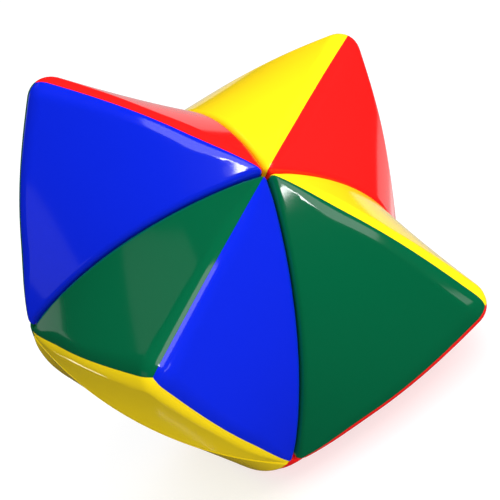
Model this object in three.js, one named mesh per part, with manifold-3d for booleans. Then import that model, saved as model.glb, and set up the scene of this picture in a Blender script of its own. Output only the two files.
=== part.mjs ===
// Shape-shifting twisty puzzle: a pillowed tetrahedron cut into eight octants.
// Four octants are three-colour tips, four are one-colour domes, and all eight hook
// onto a hidden mechanism of six sprung caps and twelve edge pieces round a core.
//
// Pieces are built in the puzzle's own axes: +x is the front turning axis, +y the left
// one and +z the down one. The last step stands the puzzle on one dome. Millimetres.
import * as THREE from "three";
import { mergeVertices } from "three/addons/utils/BufferGeometryUtils.js";
import Module from "manifold-3d";

// ---- outer shape ------------------------------------------------------------------
const AXIS_REACH = 32; // centre to the point where four pieces meet
const SEAM_MIDDLE = 0.898; // middle of a seam, as a share of AXIS_REACH
const TIP_SIDE = 0.888; // each coordinate of a sharp tip, as a share of AXIS_REACH
const RIDGE_BULGE = 0.042; // rise of a sharp ridge over its chord, as a share of the chord
const FACE_BULGE = 0.035; // the same for the ridges that shape the middle of a face
const DOME_MIDDLE = 0.745; // middle of a dome, as a share of AXIS_REACH
const SEAM_GAP = 0.3; // gap between two neighbouring pieces
const RIDGE_GAP = 0.1; // joint line between two panels of one tip
const EDGE_RADIUS = 0.75; // rounding along seams
const RIDGE_RADIUS = 2.5; // rounding along ridges
const RIDGE_ROUND_FROM = 2; // distance from an axis where the ridge rounding starts
const RIDGE_ROUND_FULL = 13; // and where it is complete
const TIP_RADIUS = 4.2; // rounding of a tip
const TIP_ROUND_FROM = 35; // distance from the centre where it starts
const TIP_ROUND_FULL = 46; // and where it is complete
const AXIS_RADIUS = 1.15; // rounding where four pieces meet
const AXIS_ROUND_WITHIN = 4.5; // how far from that point the softening reaches

// ---- panels and bodies ------------------------------------------------------------
const PANEL_INNER = 0.9; // inner face of a panel, as a share of the outer one
const BODY_OUTER = 0.888; // body under the panels, same share
const CAVITY_OUTER = 0.8; // hollow inside a tip body, same share
const WALL = 1.8; // tip body wall beside a seam
const CORE_PIN_RADIUS = 0.9; // moulding hole up through a tip's foot into its hollow
const TIP_PANEL_STEPS = 10;
const DOME_PANEL_STEPS = 8; // two more than a multiple of three leaves a flat middle
const BODY_STEPS = 5;
const EDGE_CLUSTERING = 1.45; // above one draws the mesh lines towards the edges
const SEAM_WALL_STEPS = [0.3, 1];

// ---- hidden mechanism -------------------------------------------------------------
const FOOT_INSIDE = 8.3; // feet run between this sphere
const FOOT_OUTSIDE = 12.5; // and this one
const HEAD_OUTSIDE = 17.5; // edge and cap heads end here, where the bodies' sockets start
const HEAD_CUT = 5; // half-width of the middle slice among the heads
const FOOT_CUT = 2.6; // half-width of the middle slice among the feet
const NECK_OVERLAP = 1;
const SPHERE_SEGMENTS = 32;
const FAR = 60;

const CORE_BALL = 5.5;
const CORE_ARM_RADIUS = 2.4;
const CORE_ARM_END = 8;
const SCREW_HOLE_RADIUS = 1.25;
const SCREW_HOLE_START = 2.6;
const SCREW_START = 2.9;
const SCREW_RADIUS = 1.1;
const SCREW_HEAD_RADIUS = 2.1;
const SCREW_HEAD_FROM = 15.9;
const SCREW_HEAD_TO = 17.1;
const SCREW_SLOT_WIDTH = 0.6;
const SCREW_SLOT_DEPTH = 0.7;
const CAP_BORE_RADIUS = 1.35;
const CAP_RECESS_RADIUS = 2.5;
const CAP_RECESS_FLOOR = 13.6;
const SPRING_RADIUS = 1.75;
const SPRING_WIRE_RADIUS = 0.27;
const SPRING_TURNS = 2.25;
const SPRING_CLEARANCE = 0.12;

// ---- colours ----------------------------------------------------------------------
const COLOURS = {
  blue: 0x0b2bd8,
  red: 0xe81c1a,
  yellow: 0xf6e316,
  green: 0x04683f,
  black: 0x101012,
  grey: 0x3a3c40,
  steel: 0xb9bcc0,
  spring_steel: 0x8f9398,
};

// ---- where everything goes ----------------------------------------------------------
const AXIS_NAMES = [
  ["front", "back"],
  ["left", "right"],
  ["down", "up"],
];

// signs say which side of each axis the octant is on; colours go by the two axes a
// panel touches: front-left, front-down (or -up) and left-down.
const TIPS = [
  { signs: [1, 1, 1], colours: { xy: "green", xz: "blue", yz: "yellow" } },
  { signs: [1, 1, -1], colours: { xy: "blue", xz: "red", yz: "green" } },
  { signs: [1, -1, -1], colours: { xy: "red", xz: "yellow", yz: "blue" } },
  { signs: [1, -1, 1], colours: { xy: "yellow", xz: "green", yz: "red" } },
];
const DOMES = [
  { signs: [-1, 1, 1], colour: "yellow" },
  { signs: [-1, -1, 1], colour: "red" },
  { signs: [-1, 1, -1], colour: "green" },
  { signs: [-1, -1, -1], colour: "blue" },
];

const wasm = await Module();
wasm.setup();

// ---- small helpers ------------------------------------------------------------------
const HALF_GAP = SEAM_GAP / 2;

function nameOf(signs) {
  const words = [];
  signs.forEach((sign, axis) => {
    if (sign !== 0) {
      words.push(AXIS_NAMES[axis][sign > 0 ? 0 : 1]);
    }
  });
  return words.join("_");
}

function toManifold(geometry) {
  geometry.deleteAttribute("normal");
  geometry.deleteAttribute("uv");
  const merged = mergeVertices(geometry, 1e-5);
  return new wasm.Manifold(
    new wasm.Mesh({
      numProp: 3,
      vertProperties: new Float32Array(merged.attributes.position.array),
      triVerts: new Uint32Array(merged.index.array),
    })
  );
}

function fromManifold(solid) {
  const mesh = solid.getMesh();
  const geometry = new THREE.BufferGeometry();
  const positions = new Float32Array(mesh.numVert * 3);
  for (let i = 0; i < mesh.numVert; i += 1) {
    for (let k = 0; k < 3; k += 1) {
      positions[3 * i + k] = mesh.vertProperties[mesh.numProp * i + k];
    }
  }
  geometry.setAttribute("position", new THREE.BufferAttribute(positions, 3));
  geometry.setIndex(new THREE.BufferAttribute(new Uint32Array(mesh.triVerts), 1));
  return geometry;
}

function fromPoints(points, triangles) {
  const geometry = new THREE.BufferGeometry();
  geometry.setAttribute("position", new THREE.Float32BufferAttribute(points.flat(), 3));
  geometry.setIndex(triangles.flat());
  return geometry;
}

function ball(radius) {
  return toManifold(new THREE.SphereGeometry(radius, SPHERE_SEGMENTS, SPHERE_SEGMENTS / 2));
}

function block(low, high) {
  const size = high.map((value, k) => value - low[k]);
  const geometry = new THREE.BoxGeometry(...size);
  geometry.translate(low[0] + size[0] / 2, low[1] + size[1] / 2, low[2] + size[2] / 2);
  return toManifold(geometry);
}

function shell(inner, outer) {
  return ball(outer).subtract(ball(inner));
}

// A round bar along +x.
function bar(radius, from, to, sides = 20) {
  const geometry = new THREE.CylinderGeometry(radius, radius, to - from, sides);
  geometry.rotateZ(-Math.PI / 2);
  geometry.translate((from + to) / 2, 0, 0);
  return toManifold(geometry);
}

// The turn that carries +x onto the axis with this number and sign.
function turnToAxis(axis, sign) {
  const target = new THREE.Vector3().setComponent(axis, sign);
  const start = new THREE.Vector3(1, 0, 0);
  return new THREE.Matrix4().makeRotationFromQuaternion(
    new THREE.Quaternion().setFromUnitVectors(start, target)
  );
}

// Sends the first, second and third coordinate to the named axes with the given signs.
function octantMatrix(axes, signs) {
  const columns = axes.map((axis) => new THREE.Vector3().setComponent(axis, signs[axis]));
  return new THREE.Matrix4().makeBasis(...columns);
}

// A moved copy; a mirroring move also turns every triangle round.
function placed(geometry, matrix) {
  const copy = geometry.clone();
  copy.applyMatrix4(matrix);
  if (matrix.determinant() < 0) {
    const index = copy.index.array;
    for (let i = 0; i < index.length; i += 3) {
      [index[i], index[i + 1]] = [index[i + 1], index[i]];
    }
  }
  return copy;
}

// ---- the curved surfaces, in shares of AXIS_REACH -----------------------------------
function solveThree(rows, rhs) {
  const matrix = new THREE.Matrix3().set(...rows.flat()).invert();
  return new THREE.Vector3(...rhs).applyMatrix3(matrix).toArray();
}

// In the plane of a seam every surface is the circle A(x2 + y2) + E(x + y) = 1.
function seamCircle() {
  const side = SEAM_MIDDLE / Math.SQRT2;
  const A = (2 * side - 1) / (2 * side * (1 - side));
  return { A, E: 1 - A };
}

function ridgeMiddle(corner, tip, rise) {
  const chord = tip.clone().sub(corner);
  const along = chord.clone().normalize();
  const outward = corner.clone().addScaledVector(along, -corner.dot(along)).normalize();
  const middle = corner.clone().add(tip).multiplyScalar(0.5);
  return middle.addScaledVector(outward, rise * chord.length());
}

// One tip face: A(x2 + y2) + E(x + y) + Cz2 + Dz(x + y) + Fz = 1, with x and y the
// axes it touches. It holds the tip, the middle of a ridge and a gently domed middle.
function tipFace() {
  const { A, E } = seamCircle();
  const corner = new THREE.Vector3(1, 0, 0);
  const other = new THREE.Vector3(0, 1, 0);
  const tip = new THREE.Vector3(TIP_SIDE, TIP_SIDE, TIP_SIDE);
  const onRidge = ridgeMiddle(corner, tip, RIDGE_BULGE);
  const seamControl = Math.SQRT2 * SEAM_MIDDLE - 0.5;
  const middle = new THREE.Vector3(seamControl, seamControl, 0)
    .add(ridgeMiddle(corner, tip, 2 * FACE_BULGE))
    .add(ridgeMiddle(other, tip, 2 * FACE_BULGE))
    .multiplyScalar(2)
    .add(corner)
    .add(other)
    .add(tip)
    .divideScalar(9);
  const points = [tip, onRidge, middle];
  const rows = points.map((p) => [p.z * p.z, p.z * (p.x + p.y), p.z]);
  const rhs = points.map((p) => 1 - A * (p.x * p.x + p.y * p.y) - E * (p.x + p.y));
  const [C, D, F] = solveThree(rows, rhs);
  return { A, E, C, D, F };
}

// The dome: A(x2 + y2 + z2) + E(x + y + z) + Gxyz = 1.
function domeFace() {
  const { A, E } = seamCircle();
  const side = DOME_MIDDLE / Math.sqrt(3);
  const G = (1 - 3 * A * side * side - 3 * E * side) / side ** 3;
  return { A, E, G };
}

const TIP_FACE = tipFace();
const DOME_FACE = domeFace();

// Distance outside one tip face, close to it, in shares of AXIS_REACH.
function outsideTipFace(x, y, z) {
  const { A, E, C, D, F } = TIP_FACE;
  const value = A * (x * x + y * y) + E * (x + y) + C * z * z + D * z * (x + y) + F * z - 1;
  const slope = Math.hypot(
    2 * A * x + E + D * z,
    2 * A * y + E + D * z,
    2 * C * z + D * (x + y) + F
  );
  return value / slope;
}

function outsideDomeFace(x, y, z) {
  const { A, E, G } = DOME_FACE;
  const value = A * (x * x + y * y + z * z) + E * (x + y + z) + G * x * y * z - 1;
  const slope = Math.hypot(
    2 * A * x + E + G * y * z,
    2 * A * y + E + G * x * z,
    2 * A * z + E + G * x * y
  );
  return value / slope;
}

function smoothStep(from, to, value) {
  const share = Math.min(1, Math.max(0, (value - from) / (to - from)));
  return share * share * (3 - 2 * share);
}

function fromNearestAxis(point) {
  const distances = [0, 1, 2].map((axis) => {
    const away = [...point];
    away[axis] = 0;
    return Math.hypot(...away);
  });
  return Math.min(...distances);
}

// Rounding beside the seams, a little more where four pieces meet.
function seamRadius(point) {
  const share = 1 - smoothStep(1, AXIS_ROUND_WITHIN, fromNearestAxis(point));
  return EDGE_RADIUS + (AXIS_RADIUS - EDGE_RADIUS) * share;
}

// Rounding of the ridges, fading out where four pieces meet and larger at the tip.
function ridgeRadius(point) {
  const share = smoothStep(RIDGE_ROUND_FROM, RIDGE_ROUND_FULL, fromNearestAxis(point));
  const tipShare = smoothStep(TIP_ROUND_FROM, TIP_ROUND_FULL, Math.hypot(...point));
  const ridge = EDGE_RADIUS + (RIDGE_RADIUS - EDGE_RADIUS) * share;
  return ridge + (TIP_RADIUS - RIDGE_RADIUS) * tipShare;
}

// Distance outside the space common to several solids, its edges rounded.
function roundedOverlap(distances, radius) {
  const beyond = distances.map((value) => Math.max(0, value + radius));
  return Math.min(-radius, Math.max(...distances)) + Math.hypot(...beyond);
}

function outsideFaces(kind, point) {
  const [x, y, z] = point.map((value) => value / AXIS_REACH);
  if (kind === "dome") {
    return outsideDomeFace(x, y, z) * AXIS_REACH;
  }
  const faces = [outsideTipFace(x, y, z), outsideTipFace(x, z, y), outsideTipFace(y, z, x)];
  return roundedOverlap(faces.map((value) => value * AXIS_REACH), ridgeRadius(point));
}

// Below zero inside a piece: its faces and three seam planes, with rounded edges.
function outsidePiece(kind, point) {
  const planes = point.map((value) => HALF_GAP - value);
  return roundedOverlap([outsideFaces(kind, point), ...planes], seamRadius(point));
}

// Slides a point along the ray from inside the piece until it lies on the surface.
function ontoPiece(kind, seed) {
  const heart = kind === "dome" ? 0.24 * AXIS_REACH : 0.4 * AXIS_REACH;
  const start = [heart, heart, heart];
  const ray = seed.map((value, k) => value - start[k]);
  let low = 0.2;
  let high = 1.6;
  for (let i = 0; i < 44; i += 1) {
    const middle = (low + high) / 2;
    const point = ray.map((value, k) => start[k] + middle * value);
    if (outsidePiece(kind, point) < 0) {
      low = middle;
    } else {
      high = middle;
    }
  }
  return ray.map((value, k) => start[k] + low * value);
}

// ---- panels -------------------------------------------------------------------------
function cornersOf(kind) {
  const third = kind === "dome" ? [0, 0, 1] : [TIP_SIDE, TIP_SIDE, TIP_SIDE];
  return [[1, 0, 0], [0, 1, 0], third];
}

// A curved seed point for the shares (a, b, c) of the three corners.
function seedPoint(kind, shares) {
  const corners = cornersOf(kind);
  const eased = shares.map((value) => value ** EDGE_CLUSTERING);
  const total = eased.reduce((sum, value) => sum + value, 0);
  const point = [0, 0, 0];
  corners.forEach((corner, i) => {
    corner.forEach((value, k) => {
      point[k] += (eased[i] / total) * value;
    });
  });
  return ontoFace(kind, point);
}

// Carries a point straight out from the centre onto the sharp face.
function ontoFace(kind, point) {
  const outside = kind === "dome" ? outsideDomeFace : outsideTipFace;
  let low = 0.5;
  let high = 2;
  for (let i = 0; i < 44; i += 1) {
    const middle = (low + high) / 2;
    if (outside(...point.map((value) => middle * value)) < 0) {
      low = middle;
    } else {
      high = middle;
    }
  }
  return point.map((value) => low * value * AXIS_REACH);
}

// A triangular grid of points and its triangles, counter-clockwise seen from outside.
function triangularGrid(steps, pointAt) {
  const points = [];
  const shares = [];
  const number = new Map();
  for (let i = 0; i <= steps; i += 1) {
    for (let j = 0; j <= steps - i; j += 1) {
      const share = [(steps - i - j) / steps, i / steps, j / steps];
      number.set(`${i},${j}`, points.length);
      shares.push(share);
      points.push(pointAt(share));
    }
  }
  const triangles = [];
  for (let i = 0; i < steps; i += 1) {
    for (let j = 0; j < steps - i; j += 1) {
      const here = number.get(`${i},${j}`);
      const right = number.get(`${i + 1},${j}`);
      const above = number.get(`${i},${j + 1}`);
      triangles.push([here, right, above]);
      if (i + j < steps - 1) {
        triangles.push([right, number.get(`${i + 1},${j + 1}`), above]);
      }
    }
  }
  return { points, shares, triangles, number };
}

// Grid numbers round the border, first corner to second to third and back.
function borderOf(grid, steps) {
  const border = [];
  for (let i = 0; i < steps; i += 1) {
    border.push(grid.number.get(`${i},0`));
  }
  for (let j = 0; j < steps; j += 1) {
    border.push(grid.number.get(`${steps - j},${j}`));
  }
  for (let j = steps; j > 0; j -= 1) {
    border.push(grid.number.get(`0,${j}`));
  }
  return border;
}

function innerPoint(kind, shares) {
  return seedPoint(kind, shares).map((value) => value * PANEL_INNER + HALF_GAP);
}

// One point of the panel's side, a share of the way from the outer to the inner face.
function sidePoint(kind, shares, outer, inner, depth) {
  if (depth === 1) {
    return inner;
  }
  const onSeam = kind === "dome" || shares[2] === 0;
  if (!onSeam) {
    return outer.map((value, k) => value + depth * (inner[k] - value));
  }
  const seed = seedPoint(kind, shares);
  return ontoPiece(kind, seed.map((value) => value * (1 - depth * (1 - PANEL_INNER))));
}

function panelGeometry(kind) {
  const steps = kind === "dome" ? DOME_PANEL_STEPS : TIP_PANEL_STEPS;
  const outer = triangularGrid(steps, (share) => ontoPiece(kind, seedPoint(kind, share)));
  const border = borderOf(outer, steps);
  const points = [...outer.points];
  const triangles = [...outer.triangles];
  const innerStart = points.length;
  outer.shares.forEach((share) => points.push(innerPoint(kind, share)));
  outer.triangles.forEach(([a, b, c]) => {
    triangles.push([innerStart + a, innerStart + c, innerStart + b]);
  });
  let above = border;
  SEAM_WALL_STEPS.forEach((depth) => {
    const below = border.map((n) => {
      if (depth === 1) {
        return innerStart + n;
      }
      const inner = points[innerStart + n];
      points.push(sidePoint(kind, outer.shares[n], outer.points[n], inner, depth));
      return points.length - 1;
    });
    border.forEach((n, i) => {
      const next = (i + 1) % border.length;
      triangles.push([above[i], below[i], below[next]]);
      triangles.push([above[i], below[next], above[next]]);
    });
    above = below;
  });
  const shift = kind === "dome" ? 0 : RIDGE_GAP / Math.SQRT2;
  const moved = points.map(([x, y, z]) => [x + shift, y + shift, z]);
  return fromPoints(moved, triangles);
}

// ---- black bodies --------------------------------------------------------------------
// The piece shrunk towards the centre, closed by three walls set in from the seams.
function shrunkPiece(kind, share, wall) {
  const grid = triangularGrid(BODY_STEPS, (shares) => {
    return seedPoint(kind, shares).map((value) => value * share + HALF_GAP);
  });
  const patches = [];
  const turns = kind === "dome" ? [[0, 1, 2]] : [[0, 1, 2], [1, 2, 0], [2, 0, 1]];
  turns.forEach((axes) => {
    patches.push(placed(fromPoints(grid.points, grid.triangles), octantMatrix(axes, [1, 1, 1])));
  });
  const corner = [HALF_GAP, HALF_GAP, HALF_GAP];
  const seam = grid.shares
    .map((shares, n) => ({ shares, point: grid.points[n] }))
    .filter((entry) => entry.shares[2] === 0)
    .map((entry) => entry.point);
  const fanPoints = [corner, ...seam];
  const fanTriangles = [];
  for (let i = 1; i < seam.length; i += 1) {
    fanTriangles.push([0, i + 1, i]);
  }
  [[0, 1, 2], [1, 2, 0], [2, 0, 1]].forEach((axes) => {
    patches.push(placed(fromPoints(fanPoints, fanTriangles), octantMatrix(axes, [1, 1, 1])));
  });
  const solid = toManifold(joinedGeometry(patches));
  if (wall === 0) {
    return solid;
  }
  const low = HALF_GAP + wall;
  return solid.intersect(block([low, low, low], [FAR, FAR, FAR]));
}

function joinedGeometry(list) {
  const points = [];
  const triangles = [];
  list.forEach((geometry) => {
    const start = points.length;
    const position = geometry.attributes.position;
    for (let i = 0; i < position.count; i += 1) {
      points.push([position.getX(i), position.getY(i), position.getZ(i)]);
    }
    const index = geometry.index.array;
    for (let i = 0; i < index.length; i += 3) {
      triangles.push([start + index[i], start + index[i + 1], start + index[i + 2]]);
    }
  });
  return fromPoints(points, triangles);
}

// Neck and foot that reach between the hidden edge pieces and hook under them.
function neckAndFoot() {
  const neckLow = HEAD_CUT + HALF_GAP;
  const footLow = FOOT_CUT + HALF_GAP;
  const neckZone = block([neckLow, neckLow, neckLow], [FAR, FAR, FAR]);
  const footZone = block([footLow, footLow, footLow], [FAR, FAR, FAR]);
  const neck = shell(FOOT_OUTSIDE - NECK_OVERLAP, HEAD_OUTSIDE + NECK_OVERLAP);
  const foot = shell(FOOT_INSIDE + HALF_GAP, FOOT_OUTSIDE - HALF_GAP);
  return neck.intersect(neckZone).add(foot.intersect(footZone));
}

function moulding() {
  const geometry = new THREE.CylinderGeometry(CORE_PIN_RADIUS, CORE_PIN_RADIUS, 28, 12);
  geometry.translate(0, 14, 0);
  const up = new THREE.Vector3(0, 1, 0);
  const along = new THREE.Vector3(1, 1, 1).normalize();
  geometry.applyQuaternion(new THREE.Quaternion().setFromUnitVectors(up, along));
  return toManifold(geometry);
}

function bodyGeometry(kind) {
  const socket = ball((HEAD_OUTSIDE + HALF_GAP) / Math.cos(Math.PI / SPHERE_SEGMENTS));
  let solid = shrunkPiece(kind, BODY_OUTER, 0).subtract(socket).add(neckAndFoot());
  if (kind === "tip") {
    const cavity = shrunkPiece(kind, CAVITY_OUTER, WALL);
    const floor = ball(HEAD_OUTSIDE + WALL + HALF_GAP);
    solid = solid.subtract(cavity.subtract(floor)).subtract(moulding());
  }
  return fromManifold(solid);
}

// ---- hidden edge pieces and caps -------------------------------------------------------
// The edge piece between the +x and +y axes.
function edgeGeometry() {
  const headLow = HEAD_CUT + HALF_GAP;
  const footLow = FOOT_CUT + HALF_GAP;
  const headHalf = HEAD_CUT - HALF_GAP;
  const footHalf = FOOT_CUT - HALF_GAP;
  const head = shell(FOOT_OUTSIDE + HALF_GAP, HEAD_OUTSIDE - HALF_GAP).intersect(
    block([headLow, headLow, -headHalf], [FAR, FAR, headHalf])
  );
  const neck = shell(FOOT_OUTSIDE - NECK_OVERLAP, FOOT_OUTSIDE + NECK_OVERLAP).intersect(
    block([headLow, headLow, -footHalf], [FAR, FAR, footHalf])
  );
  const foot = shell(FOOT_INSIDE + HALF_GAP, FOOT_OUTSIDE - HALF_GAP).intersect(
    block([footLow, footLow, -footHalf], [FAR, FAR, footHalf])
  );
  return fromManifold(head.add(neck).add(foot));
}

// The sprung cap on the +x axis: a square head on a round stem, bored for the screw.
function capGeometry() {
  const half = HEAD_CUT - HALF_GAP;
  const head = shell(FOOT_OUTSIDE + HALF_GAP, HEAD_OUTSIDE - HALF_GAP).intersect(
    block([HEAD_CUT + HALF_GAP, -half, -half], [FAR, half, half])
  );
  const stemStart = FOOT_INSIDE + HALF_GAP;
  const stem = bar(FOOT_CUT - HALF_GAP, stemStart, FOOT_OUTSIDE + NECK_OVERLAP);
  const bore = bar(CAP_BORE_RADIUS, 0, FAR);
  const recess = bar(CAP_RECESS_RADIUS, CAP_RECESS_FLOOR, FAR, 24);
  return fromManifold(head.add(stem).subtract(bore).subtract(recess));
}

function coreGeometry() {
  let solid = toManifold(new THREE.SphereGeometry(CORE_BALL, 16, 10));
  const arm = bar(CORE_ARM_RADIUS, 0, CORE_ARM_END, 16);
  const hole = bar(SCREW_HOLE_RADIUS, SCREW_HOLE_START, FAR, 12);
  const turns = [];
  [0, 1, 2].forEach((axis) => {
    [1, -1].forEach((sign) => turns.push(turnToAxis(axis, sign)));
  });
  turns.forEach((turn) => {
    solid = solid.add(toManifold(placed(fromManifold(arm), turn)));
  });
  turns.forEach((turn) => {
    solid = solid.subtract(toManifold(placed(fromManifold(hole), turn)));
  });
  return fromManifold(solid);
}

function screwGeometry() {
  const shank = bar(SCREW_RADIUS, SCREW_START, SCREW_HEAD_FROM + 0.2, 12);
  const head = bar(SCREW_HEAD_RADIUS, SCREW_HEAD_FROM, SCREW_HEAD_TO, 18);
  const half = SCREW_SLOT_WIDTH / 2;
  const bottom = SCREW_HEAD_TO - SCREW_SLOT_DEPTH;
  const reach = SCREW_HEAD_RADIUS * 0.72;
  const slot = block([bottom, -reach, -half], [FAR, reach, half]);
  const cross = block([bottom, -half, -reach], [FAR, half, reach]);
  return fromManifold(shank.add(head).subtract(slot.add(cross)));
}

class Helix extends THREE.Curve {
  constructor(radius, from, to, turns) {
    super();
    this.radius = radius;
    this.from = from;
    this.to = to;
    this.turns = turns;
  }

  getPoint(share, target = new THREE.Vector3()) {
    const angle = share * this.turns * 2 * Math.PI;
    return target.set(
      this.from + share * (this.to - this.from),
      this.radius * Math.cos(angle),
      this.radius * Math.sin(angle)
    );
  }
}

// Round wire wound along +x, its two ends closed by fans.
function springGeometry() {
  const low = CAP_RECESS_FLOOR + SPRING_CLEARANCE + SPRING_WIRE_RADIUS;
  const high = SCREW_HEAD_FROM - SPRING_CLEARANCE - SPRING_WIRE_RADIUS;
  const path = new Helix(SPRING_RADIUS, low, high, SPRING_TURNS);
  const sides = 5;
  const rings = Math.round(SPRING_TURNS * 12);
  const tube = new THREE.TubeGeometry(path, rings, SPRING_WIRE_RADIUS, sides, false);
  tube.deleteAttribute("normal");
  tube.deleteAttribute("uv");
  const geometry = mergeVertices(tube, 1e-5);
  const points = [];
  const position = geometry.attributes.position;
  for (let i = 0; i < position.count; i += 1) {
    points.push([position.getX(i), position.getY(i), position.getZ(i)]);
  }
  const triangles = [];
  const index = geometry.index.array;
  for (let i = 0; i < index.length; i += 3) {
    triangles.push([index[i], index[i + 1], index[i + 2]]);
  }
  return closedByFans(points, triangles);
}

// Finds the open loops of a tube and closes each with a fan round its middle.
function closedByFans(points, triangles) {
  const next = new Map();
  const used = new Set();
  triangles.forEach(([a, b, c]) => {
    [[a, b], [b, c], [c, a]].forEach(([from, to]) => used.add(`${from},${to}`));
  });
  used.forEach((key) => {
    const [from, to] = key.split(",").map(Number);
    if (!used.has(`${to},${from}`)) {
      next.set(to, from);
    }
  });
  while (next.size > 0) {
    const loop = [next.keys().next().value];
    while (next.get(loop[loop.length - 1]) !== loop[0]) {
      loop.push(next.get(loop[loop.length - 1]));
    }
    loop.forEach((n) => next.delete(n));
    const middle = [0, 1, 2].map((k) => {
      return loop.reduce((sum, n) => sum + points[n][k], 0) / loop.length;
    });
    points.push(middle);
    loop.forEach((n, i) => {
      triangles.push([n, loop[(i + 1) % loop.length], points.length - 1]);
    });
  }
  return fromPoints(points, triangles);
}

// ---- standing the puzzle on a dome ------------------------------------------------------
// The tip at front-left-up points straight up, the dome at back-right-down is underneath.
function standing() {
  const up = new THREE.Vector3(1, 1, -1).normalize();
  const right = new THREE.Vector3(0, -1, -1).normalize();
  const back = up.clone().cross(right);
  return new THREE.Matrix4().makeBasis(right, back, up).transpose();
}

function lowestPoint(meshes) {
  let lowest = Infinity;
  meshes.forEach((mesh) => {
    mesh.geometry.computeBoundingBox();
    lowest = Math.min(lowest, mesh.geometry.boundingBox.min.z);
  });
  return lowest;
}

// ---- assembly ------------------------------------------------------------------------------
const FINISHES = {
  panel: { roughness: 0.12, metalness: 0 },
  black: { roughness: 0.45, metalness: 0 },
  metal: { roughness: 0.3, metalness: 1 },
};

function mesh(name, geometry, colour, finish) {
  const material = new THREE.MeshStandardMaterial({ color: COLOURS[colour], ...FINISHES[finish] });
  const item = new THREE.Mesh(geometry, material);
  item.name = name;
  return item;
}

function tipMeshes() {
  const panel = panelGeometry("tip");
  const body = bodyGeometry("tip");
  const sides = { xy: [0, 1, 2], xz: [0, 2, 1], yz: [1, 2, 0] };
  const meshes = [];
  TIPS.forEach(({ signs, colours }) => {
    const base = `tip_${nameOf(signs)}`;
    Object.entries(sides).forEach(([side, axes]) => {
      const colour = colours[side];
      const geometry = placed(panel, octantMatrix(axes, signs));
      meshes.push(mesh(`${base}_panel_${colour}`, geometry, colour, "panel"));
    });
    const geometry = placed(body, octantMatrix([0, 1, 2], signs));
    meshes.push(mesh(`${base}_body`, geometry, "black", "black"));
  });
  return meshes;
}

function domeMeshes() {
  const panel = panelGeometry("dome");
  const body = bodyGeometry("dome");
  const meshes = [];
  DOMES.forEach(({ signs, colour }) => {
    const base = `dome_${nameOf(signs)}`;
    const matrix = octantMatrix([0, 1, 2], signs);
    meshes.push(mesh(`${base}_panel_${colour}`, placed(panel, matrix), colour, "panel"));
    meshes.push(mesh(`${base}_body`, placed(body, matrix), "black", "black"));
  });
  return meshes;
}

function edgeMeshes() {
  const edge = edgeGeometry();
  const pairs = [[0, 1, 2], [0, 2, 1], [1, 2, 0]];
  const meshes = [];
  pairs.forEach((axes) => {
    [1, -1].forEach((first) => {
      [1, -1].forEach((second) => {
        const signs = [0, 0, 0];
        signs[axes[0]] = first;
        signs[axes[1]] = second;
        const name = `edge_${nameOf(signs)}`;
        signs[axes[2]] = 1;
        meshes.push(mesh(name, placed(edge, octantMatrix(axes, signs)), "black", "black"));
      });
    });
  });
  return meshes;
}

function axleMeshes() {
  const parts = [
    ["cap", capGeometry(), "black", "black"],
    ["screw", screwGeometry(), "steel", "metal"],
    ["spring", springGeometry(), "spring_steel", "metal"],
  ];
  const meshes = [mesh("core", coreGeometry(), "grey", "black")];
  [0, 1, 2].forEach((axis) => {
    [1, -1].forEach((sign) => {
      const name = AXIS_NAMES[axis][sign > 0 ? 0 : 1];
      parts.forEach(([kind, geometry, colour, finish]) => {
        const copy = placed(geometry, turnToAxis(axis, sign));
        meshes.push(mesh(`${kind}_${name}`, copy, colour, finish));
      });
    });
  });
  return meshes;
}

function assemble() {
  const meshes = [...tipMeshes(), ...domeMeshes(), ...edgeMeshes(), ...axleMeshes()];
  const stand = standing();
  meshes.forEach((item) => item.geometry.applyMatrix4(stand));
  const drop = -lowestPoint(meshes);
  meshes.forEach((item) => {
    item.geometry.translate(0, 0, drop);
    item.geometry.computeVertexNormals();
  });
  const group = new THREE.Group();
  group.name = "twisty_puzzle";
  group.add(...meshes);
  return group;
}

export default assemble();
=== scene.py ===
"""Shape-shifting twisty puzzle, dressed for a studio picture.

The rounded glossy panels are made here from the same surfaces as the CAD part, with much
finer meshes. Everything is in the row frame, in metres, except where a name ends in _MM.
"""

import math

import bpy
import numpy as np
from mathutils import Matrix, Vector


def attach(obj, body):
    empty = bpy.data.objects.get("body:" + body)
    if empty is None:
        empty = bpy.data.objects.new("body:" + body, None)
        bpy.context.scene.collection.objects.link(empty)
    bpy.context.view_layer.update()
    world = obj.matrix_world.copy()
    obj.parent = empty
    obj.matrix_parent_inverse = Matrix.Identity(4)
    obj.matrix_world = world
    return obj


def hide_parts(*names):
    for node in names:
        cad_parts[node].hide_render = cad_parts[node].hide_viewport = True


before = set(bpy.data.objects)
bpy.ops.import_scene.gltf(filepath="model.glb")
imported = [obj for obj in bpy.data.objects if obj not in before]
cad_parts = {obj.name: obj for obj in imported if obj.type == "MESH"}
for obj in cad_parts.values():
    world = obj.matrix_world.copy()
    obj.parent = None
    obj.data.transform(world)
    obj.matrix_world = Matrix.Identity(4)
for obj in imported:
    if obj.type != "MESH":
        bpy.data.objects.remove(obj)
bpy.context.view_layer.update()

# ---- outer shape, the same as the CAD part -------------------------------------------
# SEAM_MIDDLE, TIP_SIDE and DOME_MIDDLE are shares of AXIS_REACH_MM, and the two bulges are
# shares of a ridge's chord. PANEL_INNER is a share of the way out to the sharp face.
MM = 0.001
AXIS_REACH_MM = 32.0
SEAM_MIDDLE = 0.898
TIP_SIDE = 0.888
RIDGE_BULGE = 0.042
FACE_BULGE = 0.035
DOME_MIDDLE = 0.745
SEAM_GAP_MM = 0.26
RIDGE_GAP_MM = 0.02
EDGE_RADIUS_MM = 0.72
RIDGE_RADIUS_MM = 2.5
RIDGE_ROUND_FROM_MM = 2.0
RIDGE_ROUND_FULL_MM = 13.0
TIP_RADIUS_MM = 4.2
TIP_ROUND_FROM_MM = 35.0
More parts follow.
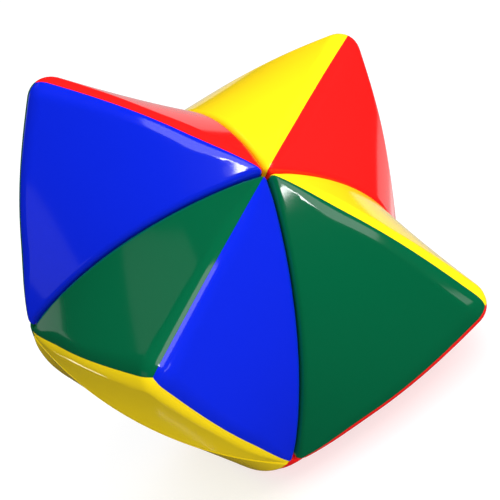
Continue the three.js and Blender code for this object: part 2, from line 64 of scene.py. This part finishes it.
TIP_ROUND_FULL_MM = 46.0
AXIS_RADIUS_MM = 1.1
AXIS_ROUND_FULL_MM = 1.0
AXIS_ROUND_WITHIN_MM = 4.5
PANEL_INNER = 0.905
CENTRE_HEIGHT_MM = 23.7563

# ---- mesh fineness ---------------------------------------------------------------------
PANEL_STEPS = 46
EDGE_CLUSTERING = 1.7
WALL_DEPTHS = (0.06, 0.12, 0.18, 0.25, 0.34, 0.5, 1.0)
BISECTIONS = 42
# Rays start inside a piece, at this share of AXIS_REACH_MM along each axis. They are searched
# between the RAY_SHARES of the way to their seed. A point is carried out to the sharp face
# by a multiple of itself between the FACE_SHARES.
RAY_START = {"dome": 0.24, "tip": 0.4}
RAY_SHARES = (0.2, 1.6)
FACE_SHARES = (0.5, 2.0)
NORMAL_STEP_MM = 0.004

# ---- where the pieces are ----------------------------------------------------------------
AXIS_NAMES = (("front", "back"), ("left", "right"), ("down", "up"))
BODY_OF_PIECE = {
    "tip_front_left_down": "front_left_pieces",
    "tip_front_left_up": "front_left_up_piece",
    "tip_front_right_up": "front_up_pieces",
    "tip_front_right_down": "front_layer",
    "dome_back_left_down": "left_layer",
    "dome_back_right_down": "core_block",
    "dome_back_left_up": "left_up_pieces",
    "dome_back_right_up": "up_layer",
}
TIP_SIGNS = ((1, 1, 1), (1, 1, -1), (1, -1, -1), (1, -1, 1))
DOME_SIGNS = ((-1, 1, 1), (-1, -1, 1), (-1, 1, -1), (-1, -1, -1))
TIP_COLOURS = {
    (1, 1, 1): ("green", "blue", "yellow"),
    (1, 1, -1): ("blue", "red", "green"),
    (1, -1, -1): ("red", "yellow", "blue"),
    (1, -1, 1): ("yellow", "green", "red"),
}
DOME_COLOURS = {
    (-1, 1, 1): "yellow",
    (-1, -1, 1): "red",
    (-1, 1, -1): "green",
    (-1, -1, -1): "blue",
}
PANEL_AXES = ((0, 1, 2), (0, 2, 1), (1, 2, 0))

# Rows of the turn from the puzzle's own axes to the row frame.
ROW_X = np.array((0.0, -1.0, -1.0)) / math.sqrt(2.0)
ROW_Z = np.array((1.0, 1.0, -1.0)) / math.sqrt(3.0)
ROW_Y = np.cross(ROW_Z, ROW_X)
TO_ROW = np.array((ROW_X, ROW_Y, ROW_Z))

# ---- the picture's viewing angle, in the puzzle's own axes ----------------------------------
# The distance and the two offsets of the centre are shares of AXIS_REACH_MM, and the scale
# is the share of the picture's width that AXIS_REACH_MM fills.
VIEW_RIGHT = np.array((0.2128, -0.9125, 0.3493))
VIEW_TOWARD = np.array((0.8069, 0.3657, 0.4639))
VIEW_DISTANCE = 9.70
VIEW_SCALE = 0.402
SENSOR_WIDTH = 36.0
VIEW_CENTRE_ASIDE = -0.147
VIEW_CENTRE_BELOW = 0.206

# ---- light -----------------------------------------------------------------------------
# Each lamp is seen from the puzzle at an azimuth and elevation in the row frame, and looks
# so wide and so high from there, all in degrees. Its brightness and its roll come last.
WORLD_GREY = 0.42
WORLD_IN_GLOSS = 0.015
LAMP_DISTANCE = 0.7
FLOOR_SIZE = 6.0
FLOOR_DROP = 0.0002
FILLS = {
    "front_fill": (-92.0, 33.0, 60.0, 50.0, 2.4, 0.0),
    "top_fill": (20.0, 75.0, 60.0, 60.0, 1.5, 0.0),
}
REFLECTED = {
    "key": (-109.0, 37.0, 5.0, 9.0, 28.0, 0.0),
    "key_box": (-87.0, 40.0, 40.0, 33.0, 2.6, 0.0),
    "low_box": (-101.0, 3.5, 27.0, 6.0, 2.0, 0.0),
    "high_card": (52.0, 52.0, 16.0, 14.0, 0.2, 0.0),
    "side_card": (77.0, 21.0, 8.0, 14.0, 0.42, 0.0),
    "left_card": (150.0, 31.0, 32.0, 14.0, 0.28, 0.0),
    "back_ground": (35.0, -18.0, 32.0, 32.0, 0.5, 0.0),
    "low_ground": (20.0, -38.0, 25.0, 12.0, 0.5, 0.0),
    "low_strip": (85.5, -18.5, 3.0, 9.0, 3.0, 0.0),
    "low_line": (81.0, -35.5, 9.0, 0.12, 1.5, -68.0),
}


# ---- surfaces, in shares of AXIS_REACH_MM ----------------------------------------------------
def seam_circle():
    """A and E of the circle A(x2 + y2) + E(x + y) = 1 that every seam lies on."""
    side = SEAM_MIDDLE / math.sqrt(2.0)
    a = (2 * side - 1) / (2 * side * (1 - side))
    return a, 1 - a


def ridge_middle(corner, tip, rise):
    """The middle of a ridge that rises this share of its chord."""
    chord = tip - corner
    along = chord / np.linalg.norm(chord)
    outward = corner - corner.dot(along) * along
    outward = outward / np.linalg.norm(outward)
    return (corner + tip) / 2 + outward * rise * np.linalg.norm(chord)


def tip_face():
    """The five numbers of one tip face, from its tip, its ridge and its domed middle."""
    a, e = seam_circle()
    corner = np.array((1.0, 0.0, 0.0))
    other = np.array((0.0, 1.0, 0.0))
    tip = np.array((TIP_SIDE, TIP_SIDE, TIP_SIDE))
    on_ridge = ridge_middle(corner, tip, RIDGE_BULGE)
    side = math.sqrt(2.0) * SEAM_MIDDLE - 0.5
    controls = np.array((side, side, 0.0))
    controls = controls + ridge_middle(corner, tip, 2 * FACE_BULGE)
    controls = controls + ridge_middle(other, tip, 2 * FACE_BULGE)
    middle = (corner + other + tip + 2 * controls) / 9
    rows = []
    rhs = []
    for x, y, z in (tip, on_ridge, middle):
        rows.append((z * z, z * (x + y), z))
        rhs.append(1 - a * (x * x + y * y) - e * (x + y))
    c, d, f = np.linalg.solve(np.array(rows), np.array(rhs))
    return a, e, c, d, f


def dome_face():
    """The three numbers of a dome's face, from its seams and its middle."""
    a, e = seam_circle()
    side = DOME_MIDDLE / math.sqrt(3.0)
    g = (1 - 3 * a * side * side - 3 * e * side) / side**3
    return a, e, g


TIP_FACE = tip_face()
DOME_FACE = dome_face()


def outside_tip_face(x, y, z):
    """Distance outside the tip face that touches the x and y axes, close to it."""
    a, e, c, d, f = TIP_FACE
    value = a * (x * x + y * y) + e * (x + y) + c * z * z + d * z * (x + y) + f * z - 1
    slope_x = 2 * a * x + e + d * z
    slope_y = 2 * a * y + e + d * z
    slope_z = 2 * c * z + d * (x + y) + f
    return value / np.sqrt(slope_x**2 + slope_y**2 + slope_z**2)


def outside_dome_face(x, y, z):
    a, e, g = DOME_FACE
    value = a * (x * x + y * y + z * z) + e * (x + y + z) + g * x * y * z - 1
    slope_x = 2 * a * x + e + g * y * z
    slope_y = 2 * a * y + e + g * x * z
    slope_z = 2 * a * z + e + g * x * y
    return value / np.sqrt(slope_x**2 + slope_y**2 + slope_z**2)


def smooth_step(start, end, value):
    share = np.clip((value - start) / (end - start), 0.0, 1.0)
    return share * share * (3 - 2 * share)


def from_nearest_axis(points):
    x, y, z = points.T
    return np.minimum(np.hypot(y, z), np.minimum(np.hypot(x, z), np.hypot(x, y)))


def seam_radius(points):
    """Rounding beside the seams, a little more where four pieces meet."""
    near_axis = 1 - smooth_step(
        AXIS_ROUND_FULL_MM, AXIS_ROUND_WITHIN_MM, from_nearest_axis(points)
    )
    return EDGE_RADIUS_MM + (AXIS_RADIUS_MM - EDGE_RADIUS_MM) * near_axis


def ridge_radius(points):
    """Rounding of the ridges, fading out where four pieces meet and larger at the tip."""
    away = smooth_step(RIDGE_ROUND_FROM_MM, RIDGE_ROUND_FULL_MM, from_nearest_axis(points))
    ridge = EDGE_RADIUS_MM + (RIDGE_RADIUS_MM - EDGE_RADIUS_MM) * away
    out = np.linalg.norm(points, axis=1)
    near_tip = smooth_step(TIP_ROUND_FROM_MM, TIP_ROUND_FULL_MM, out)
    return ridge + (TIP_RADIUS_MM - RIDGE_RADIUS_MM) * near_tip


def rounded_overlap(distances, radius):
    """Distance outside the space common to several solids, its edges rounded."""
    beyond = np.maximum(0.0, distances + radius)
    return np.minimum(-radius, distances.max(axis=0)) + np.sqrt((beyond**2).sum(axis=0))


def outside_piece(kind, points):
    """Below zero inside a piece: its faces and three seam planes, with rounded edges."""
    x, y, z = points.T / AXIS_REACH_MM
    if kind == "dome":
        outer = outside_dome_face(x, y, z) * AXIS_REACH_MM
    else:
        faces = (outside_tip_face(x, y, z), outside_tip_face(x, z, y), outside_tip_face(y, z, x))
        outer = rounded_overlap(np.array(faces) * AXIS_REACH_MM, ridge_radius(points))
    planes = [SEAM_GAP_MM / 2 - points[:, k] for k in range(3)]
    return rounded_overlap(np.array([outer] + planes), seam_radius(points))


def onto_piece(kind, seeds):
    """Slides points along rays from inside the piece until they lie on its surface."""
    start = np.full(3, RAY_START[kind] * AXIS_REACH_MM)
    rays = seeds - start
    low = np.full(len(seeds), RAY_SHARES[0])
    high = np.full(len(seeds), RAY_SHARES[1])
    for _ in range(BISECTIONS):
        middle = (low + high) / 2
        inside = outside_piece(kind, start + rays * middle[:, None]) < 0
        low = np.where(inside, middle, low)
        high = np.where(inside, high, middle)
    return start + rays * low[:, None]


def onto_face(kind, points):
    """Carries points straight out from the centre onto the sharp face, in millimetres."""
    outside = outside_dome_face if kind == "dome" else outside_tip_face
    low = np.full(len(points), FACE_SHARES[0])
    high = np.full(len(points), FACE_SHARES[1])
    for _ in range(BISECTIONS):
        middle = (low + high) / 2
        inside = outside(*(points * middle[:, None]).T) < 0
        low = np.where(inside, middle, low)
        high = np.where(inside, high, middle)
    return points * low[:, None] * AXIS_REACH_MM


def normals_at(kind, points):
    """Outward directions of the rounded surface, from small steps each way."""
    slopes = []
    for k in range(3):
        shift = np.zeros(3)
        shift[k] = NORMAL_STEP_MM
        slopes.append(outside_piece(kind, points + shift) - outside_piece(kind, points - shift))
    normals = np.array(slopes).T
    return normals / np.linalg.norm(normals, axis=1)[:, None]


# ---- panel meshes ---------------------------------------------------------------------------
def grid_shares(steps):
    """Corner shares of a triangular grid, its triangles, and its border in order."""
    shares = []
    number = {}
    for i in range(steps + 1):
        for j in range(steps + 1 - i):
            number[i, j] = len(shares)
            shares.append(((steps - i - j) / steps, i / steps, j / steps))
    triangles = []
    for i in range(steps):
        for j in range(steps - i):
            triangles.append((number[i, j], number[i + 1, j], number[i, j + 1]))
            if i + j < steps - 1:
                triangles.append((number[i + 1, j], number[i + 1, j + 1], number[i, j + 1]))
    border = [number[i, 0] for i in range(steps)]
    border += [number[steps - j, j] for j in range(steps)]
    border += [number[0, j] for j in range(steps, 0, -1)]
    return np.array(shares), triangles, border


def seed_points(kind, shares):
    third = (0.0, 0.0, 1.0) if kind == "dome" else (TIP_SIDE, TIP_SIDE, TIP_SIDE)
    corners = np.array(((1.0, 0.0, 0.0), (0.0, 1.0, 0.0), third))
    eased = shares**EDGE_CLUSTERING
    eased = eased / eased.sum(axis=1)[:, None]
    return onto_face(kind, eased @ corners)


def panel_rings(kind, shares, border, outer, inner):
    """Rings of points down the panel's side, from just under the border to the inner face."""
    seeds = seed_points(kind, shares[border])
    on_seam = np.full(len(border), True)
    if kind == "tip":
        on_seam = shares[border][:, 2] == 0
    rings = []
    for depth in WALL_DEPTHS[:-1]:
        seam_ring = onto_piece(kind, seeds * (1 - depth * (1 - PANEL_INNER)))
        ridge_ring = outer[border] + depth * (inner[border] - outer[border])
        rings.append(np.where(on_seam[:, None], seam_ring, ridge_ring))
    return rings, on_seam


def panel_shape(kind):
    """Points, faces, and the smooth outward direction wanted at each corner of each face."""
    shares, triangles, border = grid_shares(PANEL_STEPS)
    seeds = seed_points(kind, shares)
    outer = onto_piece(kind, seeds)
    inner = seeds * PANEL_INNER + SEAM_GAP_MM / 2
    rings, on_seam = panel_rings(kind, shares, border, outer, inner)
    points = np.vstack([outer, inner] + rings)
    count = len(outer)
    faces = [tuple(face) for face in triangles]
    smooth = [True] * len(faces)
    faces += [(count + a, count + c, count + b) for a, b, c in triangles]
    smooth += [False] * len(triangles)
    loops = [list(border)]
    for k in range(len(rings)):
        start = 2 * count + k * len(border)
        loops.append(list(range(start, start + len(border))))
    loops.append([count + n for n in border])
    for k in range(len(loops) - 1):
        above = loops[k]
        below = loops[k + 1]
        for i in range(len(border)):
            after = (i + 1) % len(border)
            faces.append((above[i], below[i], below[after], above[after]))
            smooth.append(bool(on_seam[i] and on_seam[after]))
    normals = normals_at(kind, points)
    if kind == "tip":
        shift = RIDGE_GAP_MM / math.sqrt(2.0)
        points = points + np.array((shift, shift, 0.0))
    return points, faces, smooth, normals


def octant_turn(axes, signs):
    """Sends the first, second and third coordinate to these axes with these signs."""
    turn = np.zeros((3, 3))
    for column, axis in enumerate(axes):
        turn[axis, column] = signs[axis]
    return TO_ROW @ turn


def to_metres(points):
    return (points + np.array((0.0, 0.0, CENTRE_HEIGHT_MM))) * MM


def corner_normals(mesh, faces, smooth, normals):
    """Smooth directions on the rounded surface, flat ones on the cut sides."""
    wanted = []
    for face, is_smooth, polygon in zip(faces, smooth, mesh.polygons):
        flat = tuple(polygon.normal)
        for corner in face:
            wanted.append(tuple(normals[corner]) if is_smooth else flat)
    return wanted


def panel_object(name, shape, turn):
    points, faces, smooth, normals = shape
    if np.linalg.det(turn) < 0:
        faces = [tuple(reversed(face)) for face in faces]
    mesh = bpy.data.meshes.new(name)
    mesh.from_pydata(to_metres(points @ turn.T).tolist(), [], faces)
    mesh.update()
    mesh.shade_smooth()
    mesh.normals_split_custom_set(corner_normals(mesh, faces, smooth, normals @ turn.T))
    item = bpy.data.objects.new(name, mesh)
    bpy.context.scene.collection.objects.link(item)
    return item


def piece_name(kind, signs):
    words = [AXIS_NAMES[axis][0 if sign > 0 else 1] for axis, sign in enumerate(signs)]
    return kind + "_" + "_".join(words)


def add_panel(shape, piece, colour, turn, materials):
    item = panel_object(f"{piece}_skin_{colour}", shape, turn)
    item.data.materials.append(materials[colour])
    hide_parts(f"{piece}_panel_{colour}")
    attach(item, BODY_OF_PIECE[piece])


def add_panels(materials):
    tip = panel_shape("tip")
    dome = panel_shape("dome")
    for signs in TIP_SIGNS:
        piece = piece_name("tip", signs)
        for axes, colour in zip(PANEL_AXES, TIP_COLOURS[signs]):
            add_panel(tip, piece, colour, octant_turn(axes, signs), materials)
    for signs in DOME_SIGNS:
        piece = piece_name("dome", signs)
        add_panel(dome, piece, DOME_COLOURS[signs], octant_turn((0, 1, 2), signs), materials)


# ---- materials ----------------------------------------------------------------------------------
PANEL_COLOURS = {
    "blue": (0.002, 0.014, 0.54),
    "red": (0.85, 0.010, 0.009),
    "yellow": (0.95, 0.69, 0.008),
    "green": (0.0005, 0.090, 0.034),
}


def new_material(name):
    material = bpy.data.materials.new(name)
    material.use_nodes = True
    nodes = material.node_tree.nodes
    links = material.node_tree.links
    return material, nodes, links, nodes["Principled BSDF"]


def surface_noise(nodes, links, scale, detail):
    """Noise that stays on the piece, in object coordinates."""
    place = nodes.new("ShaderNodeTexCoord")
    noise = nodes.new("ShaderNodeTexNoise")
    noise.inputs["Scale"].default_value = scale
    noise.inputs["Detail"].default_value = detail
    links.new(place.outputs["Object"], noise.inputs["Vector"])
    return noise


def add_bump(nodes, links, noise, strength, distance, shader):
    bump = nodes.new("ShaderNodeBump")
    bump.inputs["Strength"].default_value = strength
    bump.inputs["Distance"].default_value = distance
    links.new(noise.outputs["Fac"], bump.inputs["Height"])
    links.new(bump.outputs["Normal"], shader.inputs["Normal"])


def varied_roughness(nodes, links, noise, low, high, shader):
    spread = nodes.new("ShaderNodeMapRange")
    spread.inputs["To Min"].default_value = low
    spread.inputs["To Max"].default_value = high
    links.new(noise.outputs["Fac"], spread.inputs["Value"])
    links.new(spread.outputs["Result"], shader.inputs["Roughness"])


def varied_colour(nodes, links, noise, colour, darker, shader):
    mix = nodes.new("ShaderNodeMix")
    mix.data_type = "RGBA"
    mix.inputs["A"].default_value = (*colour, 1.0)
    mix.inputs["B"].default_value = (*(darker * value for value in colour), 1.0)
    links.new(noise.outputs["Fac"], mix.inputs["Factor"])
    links.new(mix.outputs["Result"], shader.inputs["Base Color"])


def gloss_plastic(name, colour):
    """Moulded glossy plastic: even colour, a faint waviness and a clear polished skin."""
    material, nodes, links, shader = new_material(name)
    broad = surface_noise(nodes, links, 90.0, 2.0)
    varied_colour(nodes, links, broad, colour, 0.96, shader)
    fine = surface_noise(nodes, links, 900.0, 3.0)
    varied_roughness(nodes, links, fine, 0.07, 0.12, shader)
    wave = surface_noise(nodes, links, 140.0, 1.0)
    add_bump(nodes, links, wave, 0.06, 0.0002, shader)
    shader.inputs["Specular IOR Level"].default_value = 0.5
    shader.inputs["IOR"].default_value = 1.5
    return material


def black_plastic(name, value, roughness):
    material, nodes, links, shader = new_material(name)
    grain = surface_noise(nodes, links, 1400.0, 4.0)
    varied_colour(nodes, links, grain, (value, value, value * 1.05), 0.7, shader)
    varied_roughness(nodes, links, grain, roughness - 0.08, roughness + 0.08, shader)
    add_bump(nodes, links, grain, 0.15, 0.00005, shader)
    return material


def steel(name, value, low, high):
    material, nodes, links, shader = new_material(name)
    grain = surface_noise(nodes, links, 2600.0, 5.0)
    varied_colour(nodes, links, grain, (value, value, value * 1.02), 0.85, shader)
    varied_roughness(nodes, links, grain, low, high, shader)
    shader.inputs["Metallic"].default_value = 1.0
    return material


def dress_hidden_nodes(black, grey, screw, spring):
    finishes = {"core": grey, "screw": screw, "spring": spring}
    for name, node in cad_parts.items():
        if "_panel_" in name:
            continue
        node.data.materials.clear()
        node.data.materials.append(finishes.get(name.split("_")[0], black))


# ---- floor, light and camera ------------------------------------------------------------------------
def centre():
    return Vector((0.0, 0.0, CENTRE_HEIGHT_MM * MM))


def own_to_row(direction):
    return Vector(TO_ROW @ np.array(direction))


def add_floor():
    material, nodes, links, shader = new_material("floor_card")
    speck = surface_noise(nodes, links, 60.0, 3.0)
    varied_colour(nodes, links, speck, (0.35, 0.35, 0.35), 0.985, shader)
    shader.inputs["Emission Color"].default_value = (1.0, 1.0, 1.0, 1.0)
    shader.inputs["Emission Strength"].default_value = 0.7
    shader.inputs["Roughness"].default_value = 0.9
    shader.inputs["Specular IOR Level"].default_value = 0.1
    bpy.ops.mesh.primitive_plane_add(size=FLOOR_SIZE, location=(0.0, 0.0, -FLOOR_DROP))
    floor = bpy.context.object
    floor.name = "floor"
    floor.data.materials.append(material)
    floor.visible_glossy = False


def add_softbox(name, place, in_gloss):
    """A flat lamp facing the puzzle; the glossy panels mirror it only if in_gloss is true."""
    azimuth, elevation, wide, high, brightness, roll = place
    flat = math.cos(math.radians(elevation))
    away = Vector((
        flat * math.cos(math.radians(azimuth)),
        flat * math.sin(math.radians(azimuth)),
        math.sin(math.radians(elevation)),
    ))
    lamp = bpy.data.lights.new(name, "AREA")
    lamp.shape = "RECTANGLE"
    lamp.size = 2 * LAMP_DISTANCE * math.tan(math.radians(wide / 2))
    lamp.size_y = 2 * LAMP_DISTANCE * math.tan(math.radians(high / 2))
    lamp.energy = brightness * math.pi * lamp.size * lamp.size_y
    item = bpy.data.objects.new(name, lamp)
    bpy.context.scene.collection.objects.link(item)
    item.location = centre() + away * LAMP_DISTANCE
    item.rotation_mode = "QUATERNION"
    turn = away.to_track_quat("Z", "Y")
    item.rotation_quaternion = turn @ Matrix.Rotation(math.radians(roll), 3, "Z").to_quaternion()
    item.visible_camera = False
    item.visible_glossy = in_gloss


def add_world():
    """White behind the object, grey for its shading, and dark where the gloss looks."""
    world = bpy.data.worlds.new("white_studio")
    bpy.context.scene.world = world
    world.use_nodes = True
    nodes = world.node_tree.nodes
    links = world.node_tree.links
    path = nodes.new("ShaderNodeLightPath")
    shading = nodes.new("ShaderNodeMix")
    shading.inputs["A"].default_value = WORLD_GREY
    shading.inputs["B"].default_value = WORLD_IN_GLOSS
    links.new(path.outputs["Is Glossy Ray"], shading.inputs["Factor"])
    seen = nodes.new("ShaderNodeMix")
    seen.inputs["B"].default_value = 1.0
    links.new(path.outputs["Is Camera Ray"], seen.inputs["Factor"])
    links.new(shading.outputs["Result"], seen.inputs["A"])
    background = nodes["Background"]
    background.inputs["Color"].default_value = (1.0, 1.0, 1.0, 1.0)
    links.new(seen.outputs["Result"], background.inputs["Strength"])


def add_lights():
    for name, place in FILLS.items():
        add_softbox(name, place, False)
    for name, place in REFLECTED.items():
        add_softbox(name, place, True)


def add_camera():
    toward = own_to_row(VIEW_TOWARD).normalized()
    right = own_to_row(VIEW_RIGHT).normalized()
    up = toward.cross(right)
    reach = AXIS_REACH_MM * MM
    data = bpy.data.cameras.new("camera")
    data.sensor_width = SENSOR_WIDTH
    data.lens = SENSOR_WIDTH * VIEW_SCALE * VIEW_DISTANCE
    data.clip_start = 0.01
    data.clip_end = 20.0
    item = bpy.data.objects.new("camera", data)
    bpy.context.scene.collection.objects.link(item)
    place = centre() + toward * VIEW_DISTANCE * reach
    target = centre() - right * VIEW_CENTRE_ASIDE * reach + up * VIEW_CENTRE_BELOW * reach
    back = (place - target).normalized()
    side = (right - back * right.dot(back)).normalized()
    top = back.cross(side)
    turn = Matrix((side, top, back)).transposed().to_4x4()
    item.matrix_world = Matrix.Translation(place) @ turn
    bpy.context.scene.camera = item


def main():
    bpy.context.scene.view_settings.view_transform = "Standard"
    materials = {name: gloss_plastic(f"{name}_gloss", rgb) for name, rgb in PANEL_COLOURS.items()}
    add_panels(materials)
    dress_hidden_nodes(
        black_plastic("black_moulding", 0.012, 0.42),
        black_plastic("grey_core", 0.05, 0.5),
        steel("zinc_screw", 0.62, 0.22, 0.36),
        steel("spring_wire", 0.5, 0.25, 0.4),
    )
    add_floor()
    add_world()
    add_lights()
    add_camera()


main()
bpy.context.view_layer.update()
